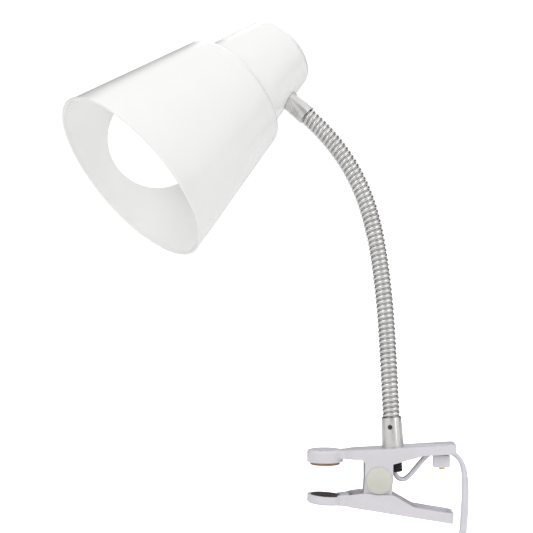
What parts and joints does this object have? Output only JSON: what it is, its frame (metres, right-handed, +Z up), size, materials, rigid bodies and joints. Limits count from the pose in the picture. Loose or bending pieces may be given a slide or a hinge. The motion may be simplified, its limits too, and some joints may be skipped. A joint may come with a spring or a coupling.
{
  "type": "clip-on reading lamp",
  "caption": "Clip-on reading lamp: spring jaw clamp, flexible gooseneck, white bell shade with bulb, in-line switch, cord and plug.",
  "frame": {"origin": "centre of the upper pad's gripping face, which rests on top of the board that the lamp is clipped to", "axes": "+X from the board's edge back to the clip's handles, +Y across the board's edge to the rear, +Z up, away from the board"},
  "size_m": [0.2521, 0.1647, 0.3682],
  "materials": {
    "clip_plastic": "lilac-tinted white moulded plastic",
    "tan_rubber": "tan rubber",
    "dark_rubber": "dark brown rubber",
    "cream_plastic": "cream moulded plastic",
    "bright_steel": "bright zinc plate",
    "spring_steel": "drawn spring wire",
    "brass": "bright brass",
    "cord_pvc": "pale lilac-grey flexible cord sheath",
    "dark_steel": "dark plated steel",
    "satin_nickel": "satin nickel plate",
    "white_enamel": "glossy white enamel",
    "holder_plastic": "heat-proof moulded plastic",
    "opal_globe": "opal diffuser",
    "white_plastic": "white moulded plastic",
    "cap_nickel": "nickel-plated cap",
    "contact_black": "black moulded plastic",
    "pin_brass": "nickel-plated brass"
  },
  "bodies": {
    "clip": {"upper_jaw": "clip_plastic", "upper_pad": "tan_rubber", "pivot_pin": "bright_steel", "pivot_caps": "cream_plastic", "jaw_spring": "spring_steel", "clamp_block": "clip_plastic", "clamp_screws": "brass", "inner_lead": "cord_pvc", "base_nipple": "dark_steel", "base_nut": "bright_steel", "base_washer": "bright_steel", "lower_ferrule": "satin_nickel", "set_screw": "dark_steel", "neck_link_1": "satin_nickel", "neck_lead_1": "cord_pvc", "cord_main": "cord_pvc", "switch_base": "white_plastic", "switch_cover": "white_plastic", "cord_tail": "cord_pvc", "cord_coil": "cord_pvc", "cord_tie": "contact_black", "cord_end": "cord_pvc", "plug_body": "white_plastic", "plug_pins": "pin_brass"},
    "lower_jaw": {"lower_jaw": "clip_plastic", "lower_pad": "dark_rubber"},
    "hose_2": {"neck_link_2": "satin_nickel", "neck_lead_2": "cord_pvc"},
    "hose_3": {"neck_link_3": "satin_nickel", "neck_lead_3": "cord_pvc"},
    "hose_4": {"neck_link_4": "satin_nickel", "neck_lead_4": "cord_pvc"},
    "hose_5": {"neck_link_5": "satin_nickel", "neck_lead_5": "cord_pvc"},
    "hose_6": {"neck_link_6": "satin_nickel", "neck_lead_6": "cord_pvc"},
    "hose_7": {"neck_link_7": "satin_nickel", "neck_lead_7": "cord_pvc"},
    "hose_8": {"neck_link_8": "satin_nickel", "neck_lead_8": "cord_pvc"},
    "head": {"upper_ferrule": "satin_nickel", "head_nipple": "bright_steel", "head_nut": "bright_steel", "head_washer": "bright_steel", "shade": "white_enamel", "rear_cup": "white_enamel", "cup_screws": "bright_steel", "lampholder_body": "holder_plastic", "lampholder_shell": "brass", "retaining_ring": "holder_plastic", "centre_contact": "brass", "terminal_screws": "brass", "head_leads": "cord_pvc"},
    "bulb": {"bulb_globe": "opal_globe", "bulb_housing": "white_plastic", "bulb_cap": "cap_nickel", "bulb_tip": "contact_black"},
    "rocker": {"switch_rocker": "white_plastic"}
  },
  "joints": [
    {"name": "jaw_hinge", "type": "hinge", "parent": "clip", "child": "lower_jaw", "pos_m": [0.0316, 0, -0.0083], "axis": [0, 1, 0], "range_deg": [-12, 22], "stiffness_Nm_per_rad": 0.6, "springref_deg": 51.57, "deforming": ["jaw_spring"]},
    {"name": "neck_bend_1", "type": "hinge", "parent": "clip", "child": "hose_2", "pos_m": [0.0381, 0.00042, 0.05258], "axis": [-0.309, -0.9511, 0], "range_deg": [-10, 10]},
    {"name": "neck_sway_2", "type": "hinge", "parent": "hose_2", "child": "hose_3", "pos_m": [0.03679, 0.00085, 0.07674], "axis": [0.9493, -0.3084, 0.061], "range_deg": [-10, 10]},
    {"name": "neck_bend_3", "type": "hinge", "parent": "hose_3", "child": "hose_4", "pos_m": [0.03489, 0.00147, 0.10085], "axis": [-0.309, -0.9511, 0], "range_deg": [-10, 10]},
    {"name": "neck_sway_4", "type": "hinge", "parent": "hose_4", "child": "hose_5", "pos_m": [0.03188, 0.00244, 0.12484], "axis": [0.9393, -0.3052, 0.1564], "range_deg": [-10, 10]},
    {"name": "neck_bend_5", "type": "hinge", "parent": "hose_5", "child": "hose_6", "pos_m": [0.027, 0.00403, 0.14848], "axis": [-0.309, -0.9511, 0], "range_deg": [-14, 11]},
    {"name": "neck_sway_6", "type": "hinge", "parent": "hose_6", "child": "hose_7", "pos_m": [0.01867, 0.00673, 0.171], "axis": [0.8474, -0.2753, 0.454], "range_deg": [-10, 10]},
    {"name": "neck_bend_7", "type": "hinge", "parent": "hose_7", "child": "hose_8", "pos_m": [0.00616, 0.0108, 0.19126], "axis": [-0.309, -0.9511, 0], "range_deg": [-14, 11]},
    {"name": "neck_sway_8", "type": "hinge", "parent": "hose_8", "child": "head", "pos_m": [-0.00981, 0.01599, 0.20864], "axis": [0.6239, -0.2027, 0.7547], "range_deg": [-10, 10]},
    {"name": "bulb_out", "type": "slide", "parent": "head", "child": "bulb", "axis": [-0.6864, -0.395, -0.6106], "range_m": [0, 0.03]},
    {"name": "rocker_tilt", "type": "hinge", "parent": "clip", "child": "rocker", "pos_m": [0.01, 0, -0.087], "axis": [0, 1, 0], "range_deg": [0, 16]}
  ],
  "couplings": [
    {"joint": "neck_bend_3", "follows": "neck_bend_1", "ratio": 1},
    {"joint": "neck_bend_7", "follows": "neck_bend_5", "ratio": 1},
    {"joint": "neck_sway_4", "follows": "neck_sway_2", "ratio": 1},
    {"joint": "neck_sway_8", "follows": "neck_sway_6", "ratio": 1}
  ]
}
